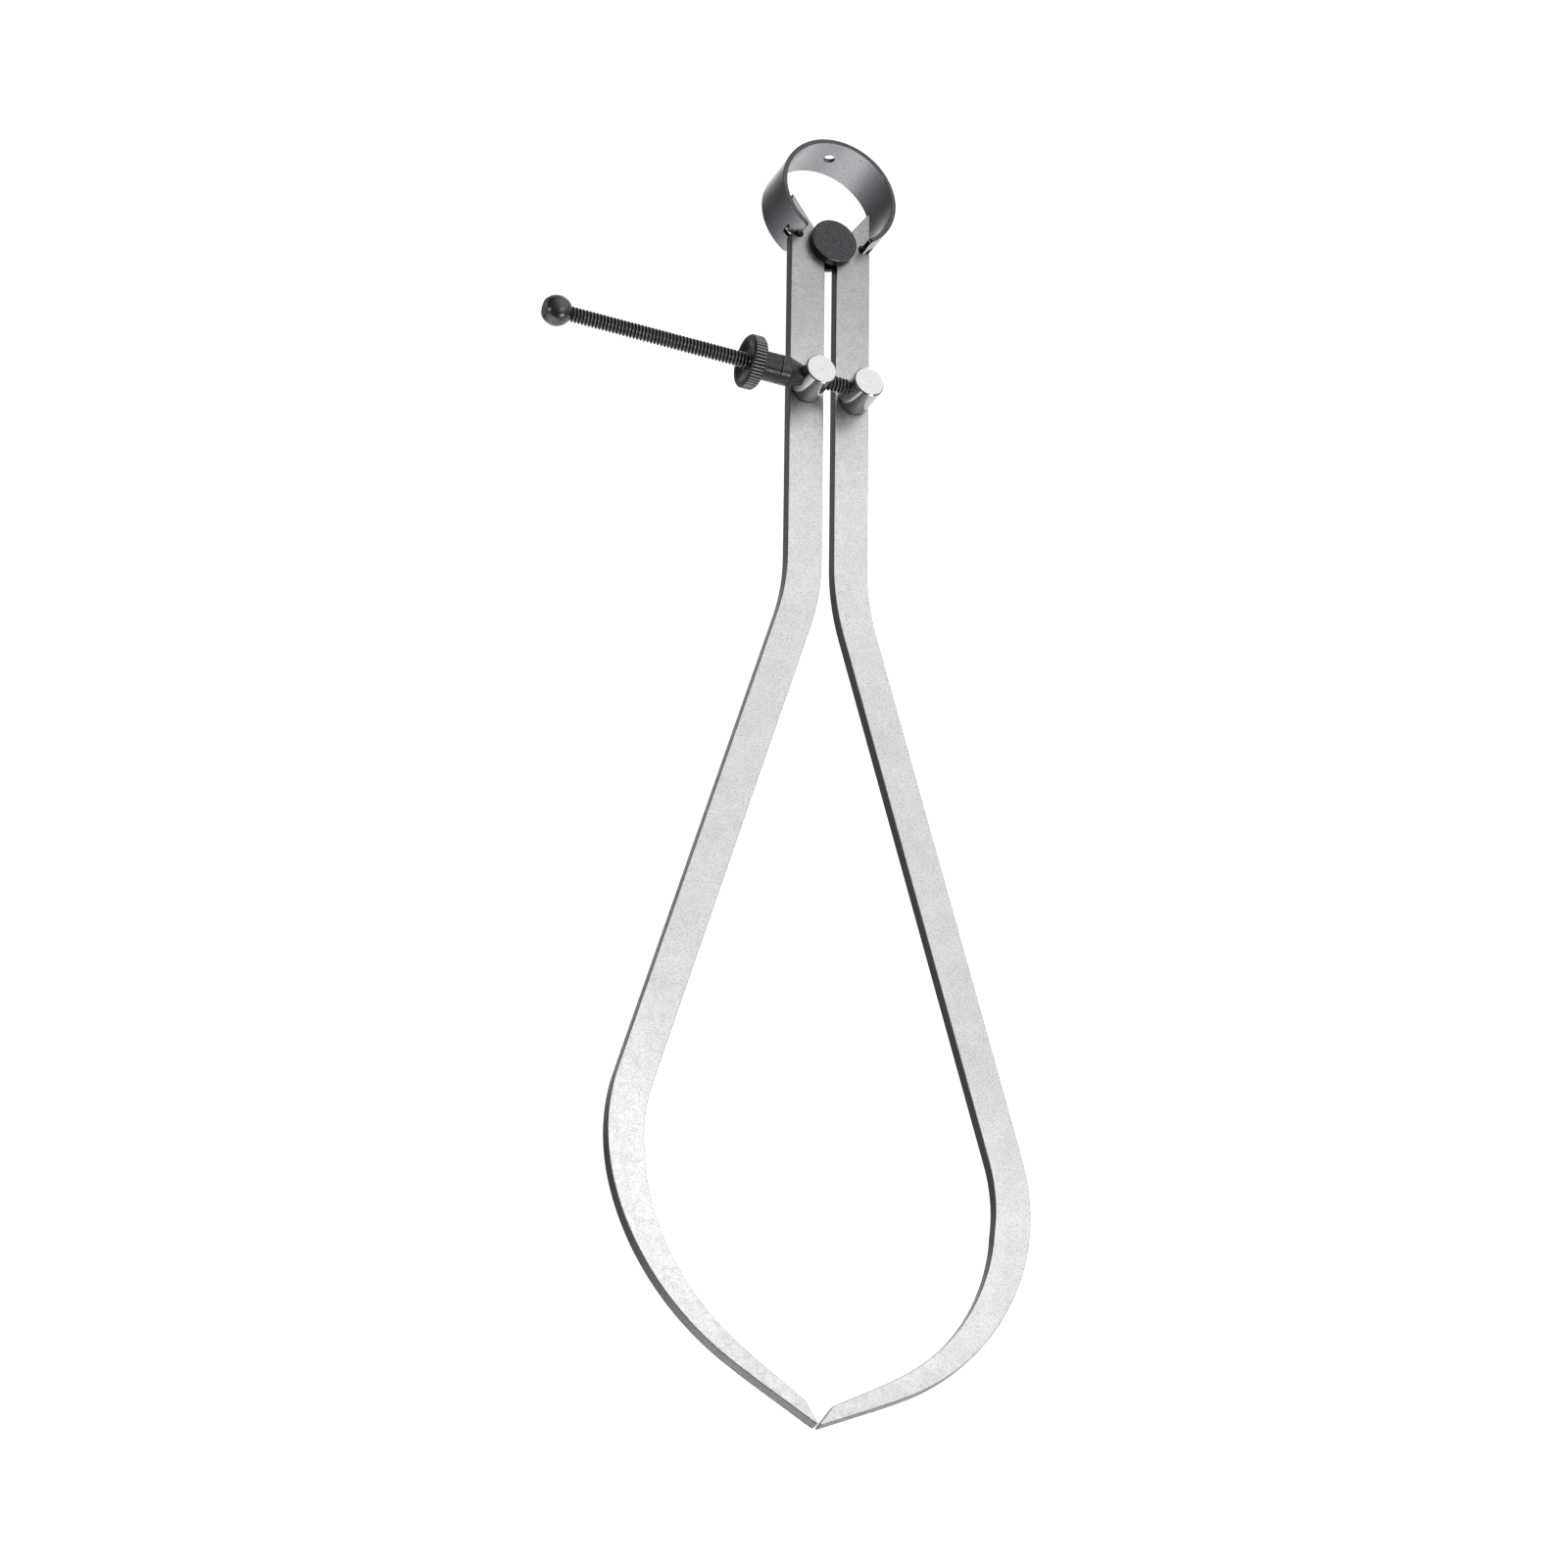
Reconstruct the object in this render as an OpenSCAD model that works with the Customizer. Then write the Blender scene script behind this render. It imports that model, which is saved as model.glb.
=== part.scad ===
// Outside spring caliper, lying flat: the legs are in the XY plane and point down -Y.
// The origin is on the fulcrum axis, at the back face of the fulcrum's rear flange.

/* [Legs] */
// Width of a leg's bar
leg_w = 8.0; // [6:0.1:9]
// Thickness of a leg's bar
leg_t = 2.7; // [2:0.1:3.4]
// Gap between the legs' straight inner edges
leg_gap = 2.7; // [1.6:0.1:4]
// Straight length from the fulcrum to the first bend
shank_len = 81.5; // [60:1:110]
// Radius of the outward bend
splay_r = 59; // [20:1:80]
// Angle of the outward bend in degrees
splay_a = 16; // [10:0.1:20]
// Straight length below the outward bend
arm_len = 121.4; // [80:0.1:160]
// Width of a leg at its contact tip
tip_w = 2.7; // [2:0.1:5]
// Length over which a leg narrows to its tip
taper_len = 67.7; // [30:0.1:80]
// Length of the bevel between a leg's inner edge and its contact corner
bevel_len = 4.6; // [2:0.1:6]
// Gap between the two contact corners when the legs are closed
tip_gap = 0.3; // [0.1:0.1:1]

/* [Bow spring] */
// Outside diameter of the spring's ring
bow_d = 27; // [24:0.5:32]
// Height of the ring's centre above the fulcrum axis
bow_y = 11.4; // [10:0.1:14]
// Width of the spring strip
strip_w = 11.5; // [8:0.5:14]
// Thickness of the spring strip
strip_t = 1.0; // [0.6:0.1:1.4]
// Diameter of the hanging hole
hang_d = 2.6; // [2:0.1:4]

/* [Fulcrum] */
// Diameter of the fulcrum's front flange
flange_d = 10.5; // [9:0.1:12]
// Thickness of the front flange
flange_t = 2.05; // [1:0.05:3]
// Diameter of the fulcrum's rear flange
rear_d = 9; // [8:0.1:12]
// Thickness of the rear flange
rear_t = 1.2; // [1.2:0.05:2]
// Diameter of the roller that the legs rock on
roller_d = 5.6; // [4:0.1:6.4]

/* [Posts] */
// Distance from the fulcrum axis down to the posts
post_y = 39; // [30:0.5:50]
// Distance of a post's axis from the caliper's centre line
post_x = 5.6; // [5.2:0.1:6]
// Diameter of a post
post_d = 7; // [5.5:0.1:7.2]
// Height of a post above its leg's face
post_h = 8.3; // [7:0.1:10]
// Height of the screw's axis above the legs' face
screw_h = 4.1; // [3.6:0.1:5]

/* [Screw and nut] */
// Major diameter of the thread
thread_d = 3.5; // [3:0.1:3.6]
// Pitch of the thread
pitch = 0.794; // [0.6:0.001:1]
// Distance of the ball's centre from the caliper's centre line
ball_x = 64.8; // [60:0.1:75]
// Diameter of the ball at the screw's end
ball_d = 6.8; // [5:0.1:9]
// Diameter of the nut's knurled disc
nut_d = 11.8; // [10:0.1:14]
// Thickness of the nut's knurled disc
nut_t = 3.2; // [2:0.1:5]
// Diameter of the nut's hub
hub_d = 6.4; // [6:0.1:7.4]
// Number of ridges round the knurled disc
ridges = 48; // [24:1:60]

/* [Hidden] */

$fn = 64;
play = 0.05;            // side play between pieces that move on each other
run = 0.07;             // radial clearance of the thread in a plain hole

// Heights, from the back face of the rear flange
leg_back = rear_t + play;
leg_mid = leg_back + leg_t / 2;
leg_face = leg_back + leg_t;
screw_z = leg_face + screw_h;

// Legs
inner_x = leg_gap / 2;
outer_x = inner_x + leg_w;
groove_r = roller_d / 2 + play;
top_cut_a = 34.5;       // slant of the cut above the fulcrum, from the leg's length
top_cut_y = -0.2;       // where the cut leaves the inner edge
top_y = top_cut_y + leg_w / tan(top_cut_a);
tip_blunt = 0.45;       // width left on the point above the cut
nib_r = 0.45;           // rounding of the contact corner
arc_step = 1.5;         // degrees between the outline's points on a bend

// A leg's centre line as [length, turn]: a turn is in degrees, outward above 0
function arc(r, a) = [r * abs(a) * PI / 180, a];
bow_bends = [arc(43.9, -30.9), arc(52, -44.5), arc(147, -2.8)];
end_a = splay_a + bow_bends[0][1] + bow_bends[1][1] + bow_bends[2][1];
curve = concat([[shank_len, 0], arc(splay_r, splay_a), [arm_len, 0]], bow_bends);

// Spring
bow_end_a = 34.5;       // angle of the strip's ends from straight down
window_a = [40, 49.3];  // angles of a window's two ends
window_w = leg_t + 0.3;
notch_w = 1.9;
notch_floor = [7.6, 1]; // centre of the notch's round floor
notch_slope = 20;
notch_len = 4;          // reaches past the leg's outer edge
bow_fn = 96;

// Fulcrum
stud_pin_d = 3;
centre_mark = [0.35, 0.2];  // radius and depth of the mark on the flange and posts
edge_break = 0.15;      // small chamfer on turned edges

// Posts
stem_d = 4.4;
washer_d = 6.2;
washer_t = 0.9;
rivet_d = 5.2;
rivet_h = 0.35;
post_chamfer = 0.2;
lock_pin_d = 1.2;
lock_pin_bite = 0.8;    // how far the lock pin enters the screw
lock_pin_top = screw_z - thread_d / 2 + lock_pin_bite;
washer_back = leg_back - play - washer_t;
rivet_back = washer_back - rivet_h;

// Screw and nut, as distances from the centre line towards the ball
thread_depth = 0.45;
screw_end = post_x + 2.2;
spigot_d = 2.9;         // plain end of the screw inside the ball
spigot_len = 2.4;
ball_flat = 0.25;       // depth of the flat on the ball's far side
nut_near = 18.7;        // face of the knurled disc on the hub's side
seam_x = 14.2;
cone_x = 12;
nose_x = 8.3;
nose_d = 4.3;           // diameter of the nose's end
plug_d = 5;             // part of the nose inside the hub
plug_len = 2.2;
dish_d = 9.2;
dish_depth = 0.7;
dish_land = 0.8;        // flat ring left round the bore in the dish
ridge_h = 0.28;
screw_shoulder = ball_x - ball_d / 2 + 0.4;     // where the thread enters the ball
turns = floor((screw_shoulder + post_x - post_d / 2) / pitch);

steel = [0.72, 0.73, 0.74];
bright = [0.85, 0.86, 0.87];
dark = [0.35, 0.36, 0.38];
black = [0.12, 0.12, 0.13];

// Direction of travel and outward side at a heading, in degrees from straight down
function along(h) = [-sin(h), -cos(h)];
function side(h) = [-cos(h), sin(h)];
function walk(p, h, len, turn) =
    turn == 0 ? p + len * along(h) : p + len / (turn * PI / 180) * (side(h) - side(h + turn));

// Start of the i-th stretch as [point, heading]
function start(i) = i == 0 ? [[-(inner_x + leg_w / 2), 0], 0]
    : let (s = start(i - 1), c = curve[i - 1]) [walk(s[0], s[1], c[0], c[1]), s[1] + c[1]];

// The last straight brings the contact corner to the other leg's
bend_end = start(len(curve));
corner_x = bend_end[0][0] + (leg_w / 2 - nib_r) * side(end_a)[0];
tip_len = (-tip_gap / 2 - corner_x) / along(end_a)[0];
stretches = concat(curve, [[tip_len, 0]]);

// Length from the start of stretch i to the tip
function to_tip(i) = i == len(stretches) ? 0 : stretches[i][0] + to_tip(i + 1);
function width(rest) = tip_w + (leg_w - tip_w) * min(1, rest / taper_len);

// Points on a leg's centre line: [point, heading, length left]
stations = [for (i = [0:len(stretches) - 1])
    let (s = start(i), c = stretches[i], n = max(1, ceil(abs(c[1]) / arc_step)))
    for (k = [(i == 0 ? 0 : 1):n])
        [walk(s[0], s[1], c[0] * k / n, c[1] * k / n), s[1] + c[1] * k / n, to_tip(i) - c[0] * k / n]];
last = len(stations) - 1;
outer_edge = [for (s = stations) s[0] + leg_w / 2 * side(s[1])];
inner_edge = [for (s = stations) if (s[2] > bevel_len)
    s[0] + (leg_w / 2 - width(s[2])) * side(s[1])];

// The bevel starts on the inner edge and ends in a rounded contact corner
tip_corner = outer_edge[last];
bevel_start = tip_corner - bevel_len * along(end_a) - width(bevel_len) * side(end_a);
nib_centre = tip_corner - nib_r * along(end_a) - nib_r * side(end_a);
nib = [for (a = [0:15:90]) nib_centre + nib_r * (cos(a) * side(end_a) + sin(a) * along(end_a))];

module leg_outline() {
    upper = [[-inner_x, top_cut_y], [-outer_x + tip_blunt, top_y - tip_blunt / tan(top_cut_a)],
        [-outer_x + tip_blunt / 3, top_y - 1.1 * tip_blunt], [-outer_x, top_y - 2 * tip_blunt]];
    below_tip = [for (i = [0:last - 1]) outer_edge[i]];
    back = [for (i = [len(inner_edge) - 1:-1:0]) inner_edge[i]];
    polygon(concat(upper, below_tip, nib, [bevel_start], back));
}

// A notch in the leg's outer edge, in which the end of the spring strip rests
module spring_notch() {
    translate([-notch_floor[0], notch_floor[1]]) rotate(-notch_slope) {
        circle(d = notch_w);
        translate([-notch_len, -notch_w / 2]) square([notch_len, notch_w]);
    }
}

module leg() {
    translate([0, 0, leg_back]) linear_extrude(leg_t) difference() {
        leg_outline();
        circle(r = groove_r);
        spring_notch();
        translate([-post_x, -post_y]) circle(d = stem_d + 2 * play);
    }
}

module left_leg() { color(steel) leg(); }

module right_leg() { color(steel) mirror([1, 0, 0]) leg(); }

// A strip bent round, with a window near each end that a leg's top passes through
module bow_spring() {
    color(dark) translate([0, bow_y, leg_mid]) difference() {
        cylinder(d = bow_d, h = strip_w, center = true, $fn = bow_fn);
        cylinder(d = bow_d - 2 * strip_t, h = strip_w + 1, center = true, $fn = bow_fn);
        linear_extrude(strip_w + 1, center = true)
            polygon([[0, 0], bow_d * along(bow_end_a), bow_d * along(-bow_end_a)]);
        for (s = [-1, 1]) linear_extrude(window_w, center = true)
            polygon([[0, 0], bow_d * along(s * window_a[0]), bow_d * along(s * window_a[1])]);
        rotate([-90, 0, 0]) cylinder(d = hang_d, h = bow_d);
    }
}

module fulcrum_stud() {
    foot = leg_face + play;
    face = foot + flange_t;
    color(black) rotate_extrude() polygon([
        [0, 0], [stud_pin_d / 2, 0], [stud_pin_d / 2, foot], [flange_d / 2, foot],
        [flange_d / 2, face - edge_break], [flange_d / 2 - edge_break, face],
        [centre_mark[0], face], [0, face - centre_mark[1]]]);
}

module fulcrum_roller() {
    color(dark) translate([0, 0, rear_t]) difference() {
        cylinder(d = roller_d, h = leg_t + 2 * play);
        translate([0, 0, -1]) cylinder(d = stud_pin_d, h = leg_t + 3);
    }
}

module fulcrum_rear_flange() {
    color(black) rotate_extrude() polygon([
        [stud_pin_d / 2, 0], [rear_d / 2 - edge_break, 0], [rear_d / 2, edge_break],
        [rear_d / 2, rear_t], [stud_pin_d / 2, rear_t]]);
}

// A turned post whose stem passes through the leg and is riveted over a washer
module post_body() {
    foot = leg_face + play;
    top = leg_face + post_h;
    rotate_extrude() polygon([
        [0, rivet_back], [rivet_d / 2 - edge_break, rivet_back],
        [rivet_d / 2, washer_back], [stem_d / 2, washer_back], [stem_d / 2, foot],
        [post_d / 2, foot], [post_d / 2, top - post_chamfer], [post_d / 2 - post_chamfer, top],
        [centre_mark[0], top], [0, top - centre_mark[1]]]);
}

module washer() {
    translate([0, 0, washer_back]) difference() {
        cylinder(d = washer_d, h = washer_t);
        translate([0, 0, -1]) cylinder(d = stem_d, h = washer_t + 2);
    }
}

// Turns a shape built along +Z into one along the screw, towards the ball
module on_screw() { translate([0, -post_y, screw_z]) rotate([0, -90, 0]) children(); }

module nut_post() {
    color(bright) difference() {
        translate([-post_x, -post_y, 0]) post_body();
        on_screw() cylinder(d = thread_d + 2 * run, h = post_x + post_d);
        on_screw() rotate_extrude() polygon([[0, nose_x - play], [nose_d / 2 + play, nose_x - play],
            [hub_d / 2 + play, cone_x - play], [hub_d / 2 + play, cone_x + 1], [0, cone_x + 1]]);
    }
}

module nut_post_washer() { color(steel) translate([-post_x, -post_y, 0]) washer(); }

module screw_post() {
    color(bright) difference() {
        translate([post_x, -post_y, 0]) post_body();
        on_screw() translate([0, 0, -screw_end]) cylinder(d = thread_d, h = screw_end);
        translate([post_x, -post_y, rivet_back - 1])
            cylinder(d = lock_pin_d, h = lock_pin_top + 1 - rivet_back);
    }
}

module screw_post_washer() { color(steel) translate([post_x, -post_y, 0]) washer(); }

module screw_lock_pin() {
    color(steel) translate([post_x, -post_y, rivet_back])
        cylinder(d = lock_pin_d, h = lock_pin_top - rivet_back);
}

// The thread's grooves are rings here, one a pitch, and not a helix
module adjusting_screw() {
    r = thread_d / 2;
    grooves = [for (i = [turns:-1:1]) let (x = screw_shoulder - i * pitch)
        each [[r, x], [r - thread_depth, x + pitch / 2]]];
    color(black) difference() {
        on_screw() rotate_extrude($fn = 48) polygon(concat([[0, -screw_end], [r, -screw_end]], grooves,
            [[r, screw_shoulder], [spigot_d / 2, screw_shoulder],
            [spigot_d / 2, screw_shoulder + spigot_len], [0, screw_shoulder + spigot_len]]));
        translate([post_x, -post_y, 0]) cylinder(d = lock_pin_d, h = lock_pin_top);
    }
}

module screw_ball() {
    color(black) on_screw() difference() {
        translate([0, 0, ball_x]) sphere(d = ball_d, $fn = 96);
        cylinder(d = thread_d, h = screw_shoulder);
        cylinder(d = spigot_d, h = screw_shoulder + spigot_len);
        translate([0, 0, ball_x + ball_d / 2 - ball_flat]) cylinder(d = ball_d, h = ball_d);
    }
}

module thumb_nut() {
    root_r = nut_d / 2 - ridge_h;
    far = nut_near + nut_t;
    rim = [for (i = [0:ridges - 1]) let (a = i * 360 / ridges, s = 90 / ridges) each [
        nut_d / 2 * [cos(a - s / 2), sin(a - s / 2)], nut_d / 2 * [cos(a + s / 2), sin(a + s / 2)],
        root_r * [cos(a + 2 * s), sin(a + 2 * s)]]];
    color(black) on_screw() difference() {
        union() {
            translate([0, 0, nut_near]) linear_extrude(nut_t) polygon(rim);
            translate([0, 0, seam_x]) cylinder(d = hub_d, h = nut_near - seam_x + 0.5);
        }
        cylinder(d = thread_d + 2 * run, h = far + 1);
        translate([0, 0, seam_x - 1]) cylinder(d = plug_d, h = plug_len + 1);
        rotate_extrude() polygon([[0, far - dish_depth], [thread_d / 2 + dish_land, far - dish_depth],
            [dish_d / 2, far], [dish_d / 2, far + 1], [0, far + 1]]);
    }
}

module nut_nose() {
    color(black) on_screw() rotate_extrude() polygon([
        [thread_d / 2 + run, nose_x], [nose_d / 2, nose_x], [hub_d / 2, cone_x], [hub_d / 2, seam_x],
        [plug_d / 2, seam_x], [plug_d / 2, seam_x + plug_len], [thread_d / 2 + run, seam_x + plug_len]]);
}

left_leg();
right_leg();
bow_spring();
fulcrum_stud();
fulcrum_roller();
fulcrum_rear_flange();
nut_post();
nut_post_washer();
screw_post();
screw_post_washer();
adjusting_screw();
screw_ball();
screw_lock_pin();
thumb_nut();
nut_nose();
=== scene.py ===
import math

import bmesh
import bpy
from mathutils import Matrix, Vector
from mathutils.geometry import tessellate_polygon


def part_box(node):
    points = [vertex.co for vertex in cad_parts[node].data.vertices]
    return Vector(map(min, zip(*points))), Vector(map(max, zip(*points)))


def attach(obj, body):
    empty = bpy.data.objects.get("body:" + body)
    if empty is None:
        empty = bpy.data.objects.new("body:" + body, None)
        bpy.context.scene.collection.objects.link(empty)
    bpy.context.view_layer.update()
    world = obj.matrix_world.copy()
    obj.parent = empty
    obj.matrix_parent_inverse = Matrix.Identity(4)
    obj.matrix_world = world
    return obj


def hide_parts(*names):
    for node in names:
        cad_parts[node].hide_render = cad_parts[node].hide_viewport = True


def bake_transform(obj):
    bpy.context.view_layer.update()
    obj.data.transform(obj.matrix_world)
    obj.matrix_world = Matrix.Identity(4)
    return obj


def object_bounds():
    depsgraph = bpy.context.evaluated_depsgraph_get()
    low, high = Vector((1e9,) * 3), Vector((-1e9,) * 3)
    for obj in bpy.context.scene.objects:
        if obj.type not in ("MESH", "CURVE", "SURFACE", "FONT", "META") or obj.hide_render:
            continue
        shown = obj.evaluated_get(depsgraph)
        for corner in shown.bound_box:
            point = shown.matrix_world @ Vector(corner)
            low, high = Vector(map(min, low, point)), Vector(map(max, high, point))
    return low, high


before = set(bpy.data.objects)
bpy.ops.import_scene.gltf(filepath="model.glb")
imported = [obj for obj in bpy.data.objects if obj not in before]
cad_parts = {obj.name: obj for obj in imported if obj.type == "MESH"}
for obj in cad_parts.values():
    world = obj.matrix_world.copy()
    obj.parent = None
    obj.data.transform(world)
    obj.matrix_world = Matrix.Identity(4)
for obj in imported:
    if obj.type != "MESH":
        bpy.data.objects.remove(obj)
cad_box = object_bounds()

MM = 0.001
TAU = 2 * math.pi
PLAY = 0.05 * MM            # gap between pieces that move on each other
THREAD_PLAY = 0.07 * MM     # radial gap between the thread and a plain bore


# ---------------------------------------------------------------- places, from the frame

class Span:
    """The box of a CAD node, with the sizes that the pieces are worked out from."""

    def __init__(self, node):
        self.low, self.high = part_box(node)
        self.mid = (self.low + self.high) / 2
        self.size = self.high - self.low


left_leg = Span("left_leg")
bow = Span("bow_spring")
stud = Span("fulcrum_stud")
rear_flange = Span("fulcrum_rear_flange")
roller = Span("fulcrum_roller")
nut_post = Span("nut_post")
screw_post = Span("screw_post")
washer = Span("nut_post_washer")
screw = Span("adjusting_screw")
ball = Span("screw_ball")
lock_pin = Span("screw_lock_pin")
nut = Span("thumb_nut")
nose = Span("nut_nose")

LEG_BACK, LEG_FACE = left_leg.low.z, left_leg.high.z
SCREW_Y, SCREW_Z, THREAD_R = screw.mid.y, screw.mid.z, screw.size.y / 2
BORE_R = THREAD_R + THREAD_PLAY

# Turned pieces are drawn along +Z, then laid on the screw's axis or stood on the legs' plane
ON_SCREW = Matrix.Translation((0, SCREW_Y, SCREW_Z)) @ Matrix.Rotation(-math.pi / 2, 4, "Y")


def upright(x, y):
    """Stands a turned piece on the legs' plane at x, y."""
    return Matrix.Translation((x, y, 0))


# ---------------------------------------------------------------- materials

def node(tree, kind, **values):
    """A new node; a value sets the node's property of that name, or else its input."""
    made = tree.nodes.new(kind)
    for key, value in values.items():
        if hasattr(made, key):
            setattr(made, key, value)
        else:
            made.inputs[key.replace("_", " ")].default_value = value
    return made


def ramp(tree, source, stops):
    """A colour ramp over source, with stops as (position, grey)."""
    made = tree.nodes.new("ShaderNodeValToRGB")
    while len(made.color_ramp.elements) < len(stops):
        made.color_ramp.elements.new(1)
    for element, (position, grey) in zip(made.color_ramp.elements, stops):
        element.position = position
        element.color = (grey, grey, grey, 1)
    tree.links.new(source, made.inputs["Fac"])
    return made.outputs["Color"]


def noise(tree, coords, scale, detail=2.0, rough=0.5):
    """Noise from 0 to 1 with scale features per metre."""
    made = node(tree, "ShaderNodeTexNoise", Scale=scale, Detail=detail, Roughness=rough)
    tree.links.new(coords, made.inputs["Vector"])
    return made.outputs["Fac"]


def mix_colour(tree, factor, a, b):
    """Mixes two colours by factor; a and b are sockets or RGB tuples."""
    made = tree.nodes.new("ShaderNodeMix")
    made.data_type = "RGBA"
    tree.links.new(factor, made.inputs["Factor"])
    sockets = [s for s in made.inputs if s.type == "RGBA"]
    for socket, value in zip(sockets, (a, b)):
        if isinstance(value, tuple):
            socket.default_value = (*value, 1)
        else:
            tree.links.new(value, socket)
    return [s for s in made.outputs if s.type == "RGBA"][0]


def multiply(tree, a, b):
    """The product of two colours."""
    made = tree.nodes.new("ShaderNodeMix")
    made.data_type, made.blend_type = "RGBA", "MULTIPLY"
    made.inputs["Factor"].default_value = 1
    sockets = [s for s in made.inputs if s.type == "RGBA"]
    tree.links.new(a, sockets[0])
    tree.links.new(b, sockets[1])
    return [s for s in made.outputs if s.type == "RGBA"][0]


def bump(tree, height, depth, strength):
    """The normal of a surface with a relief that is depth deep."""
    made = node(tree, "ShaderNodeBump", Strength=strength, Distance=depth)
    tree.links.new(height, made.inputs["Height"])
    return made.outputs["Normal"]


def along(tree, coords, axis, low, high):
    """0 to 1 between two places on an axis of the part."""
    split = tree.nodes.new("ShaderNodeSeparateXYZ")
    tree.links.new(coords, split.inputs["Vector"])
    share = node(tree, "ShaderNodeMapRange", From_Min=low, From_Max=high)
    tree.links.new(split.outputs[axis], share.inputs["Value"])
    return share.outputs["Result"]


def new_material(name, **shader_values):
    """(material, its tree, its shader, object coordinates); values that are the same all over go in here."""
    material = bpy.data.materials.new(name)
    material.use_nodes = True
    tree = material.node_tree
    shader = tree.nodes["Principled BSDF"]
    for key, value in shader_values.items():
        shader.inputs[key.replace("_", " ")].default_value = value
    coords = tree.nodes.new("ShaderNodeTexCoord").outputs["Object"]
    return material, tree, shader, coords


# Painted light and shade along the legs: how bright their finish is painted, from the tips, at 0, to the
# fulcrum, at 1
LEG_PAINTED_LIGHT = [(0.0, 0.62), (0.13, 0.77), (0.22, 0.79), (0.32, 0.71), (0.5, 0.76), (0.75, 0.87),
              (0.85, 0.76), (0.93, 0.58), (1.0, 0.50)]


def leg_steel(name, tone):
    """Satin nickel: pale grey with fine dark speckles and faint clouds, with painted light and shade along
    the legs, darkest at the fulcrum.
    """
    material, tree, shader, coords = new_material(name, Metallic=1.0)
    place = along(tree, coords, "Y", left_leg.low.y, 0.0)
    # painted light and shade: the legs' tone rises and falls from the tips to the fulcrum
    wear_and_painted_light = ramp(tree, place, [(at, shade * tone) for at, shade in LEG_PAINTED_LIGHT])
    clouds = ramp(tree, noise(tree, coords, 160, 3, 0.6), [(0.3, 0.90), (0.75, 1)])
    speckle = ramp(tree, noise(tree, coords, 3000, 2, 0.6), [(0.3, 0.60), (0.5, 0.93), (0.7, 1)])
    ground = multiply(tree, wear_and_painted_light, clouds)
    tree.links.new(multiply(tree, ground, speckle), shader.inputs["Base Color"])
    tree.links.new(ramp(tree, noise(tree, coords, 900, 2), [(0.3, 0.34), (0.7, 0.46)]),
                   shader.inputs["Roughness"])
    grain = bump(tree, noise(tree, coords, 3200, 2), 0.02 * MM, 0.25)
    tree.links.new(grain, shader.inputs["Normal"])
    return material


def spring_steel(name, dark, light):
    """Satin strip steel, with fine lines along the strip and a few specks."""
    material, tree, shader, coords = new_material(name, Metallic=1.0)
    stretched = node(tree, "ShaderNodeMapping", Scale=(1, 1, 14))
    tree.links.new(coords, stretched.inputs["Vector"])
    lines = noise(tree, stretched.outputs["Vector"], 260, 4, 0.65)
    colour = mix_colour(tree, lines, (dark, dark, dark * 1.04), (light, light, light * 1.04))
    specks = ramp(tree, noise(tree, coords, 2600, 2), [(0.28, 1), (0.36, 0)])
    tree.links.new(mix_colour(tree, specks, colour, (0.05, 0.05, 0.05)), shader.inputs["Base Color"])
    tree.links.new(ramp(tree, lines, [(0.3, 0.20), (0.7, 0.30)]), shader.inputs["Roughness"])
    tree.links.new(bump(tree, lines, 0.01 * MM, 0.2), shader.inputs["Normal"])
    return material


def turning_marks(tree, coords, centre, step):
    """Fine concentric rings about the upright axis through centre; step sets how far apart they are."""
    shifted = node(tree, "ShaderNodeMapping", Location=(-centre[0], -centre[1], 0))
    tree.links.new(coords, shifted.inputs["Vector"])
    rings = node(tree, "ShaderNodeTexWave", wave_type="RINGS", rings_direction="Z",
                 Scale=1 / step, Distortion=0.6, Detail=2.0)
    tree.links.new(shifted.outputs["Vector"], rings.inputs["Vector"])
    return rings.outputs["Fac"]


def blackened_steel(name, tone):
    """Charcoal steel of an average tone, with turning rings."""
    material, tree, shader, coords = new_material(name, Metallic=0.8)
    rings = turning_marks(tree, coords, (0, 0), 2.2 * MM)
    low, high, pit = tone * 0.7, tone * 1.3, tone * 0.5
    plain = mix_colour(tree, rings, (low, low, low * 1.04), (high, high, high * 1.04))
    specks = ramp(tree, noise(tree, coords, 2400, 3, 0.7), [(0.35, 1), (0.5, 0)])
    tree.links.new(mix_colour(tree, specks, plain, (pit, pit, pit)), shader.inputs["Base Color"])
    tree.links.new(ramp(tree, noise(tree, coords, 1200, 2), [(0.3, 0.30), (0.7, 0.42)]),
                   shader.inputs["Roughness"])
    tree.links.new(bump(tree, rings, 0.03 * MM, 0.4), shader.inputs["Normal"])
    return material


def polished_steel(name, centre, tone):
    """Bright turned steel with painted shade where it meets the leg, with faint rings about the post's axis.
    """
    material, tree, shader, coords = new_material(name, Metallic=1.0)
    rings = turning_marks(tree, coords, centre, 1.6 * MM)
    smudges = ramp(tree, noise(tree, coords, 500, 3, 0.6), [(0.35, 0), (0.7, 1)])
    low, high, groove = tone * 0.93, tone * 1.03, tone * 0.837
    plain = mix_colour(tree, smudges, (low, low, low), (high, high, high))
    ringed = mix_colour(tree, rings, (groove, groove, groove), plain)
    height = along(tree, coords, "Z", LEG_BACK, LEG_FACE + 5 * MM)
    # painted shade: a dark band at the post's foot where it meets the leg, fading lighter up the post
    painted_contact_shade = ramp(tree, height, [(0.0, 1), (0.3, 0.12), (0.37, 0.12), (0.42, 0.55), (0.68, 0.85), (1.0, 1)])
    tree.links.new(multiply(tree, ringed, painted_contact_shade), shader.inputs["Base Color"])
    tree.links.new(ramp(tree, smudges, [(0, 0.12), (1, 0.2)]), shader.inputs["Roughness"])
    tree.links.new(bump(tree, rings, 0.01 * MM, 0.15), shader.inputs["Normal"])
    return material


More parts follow.
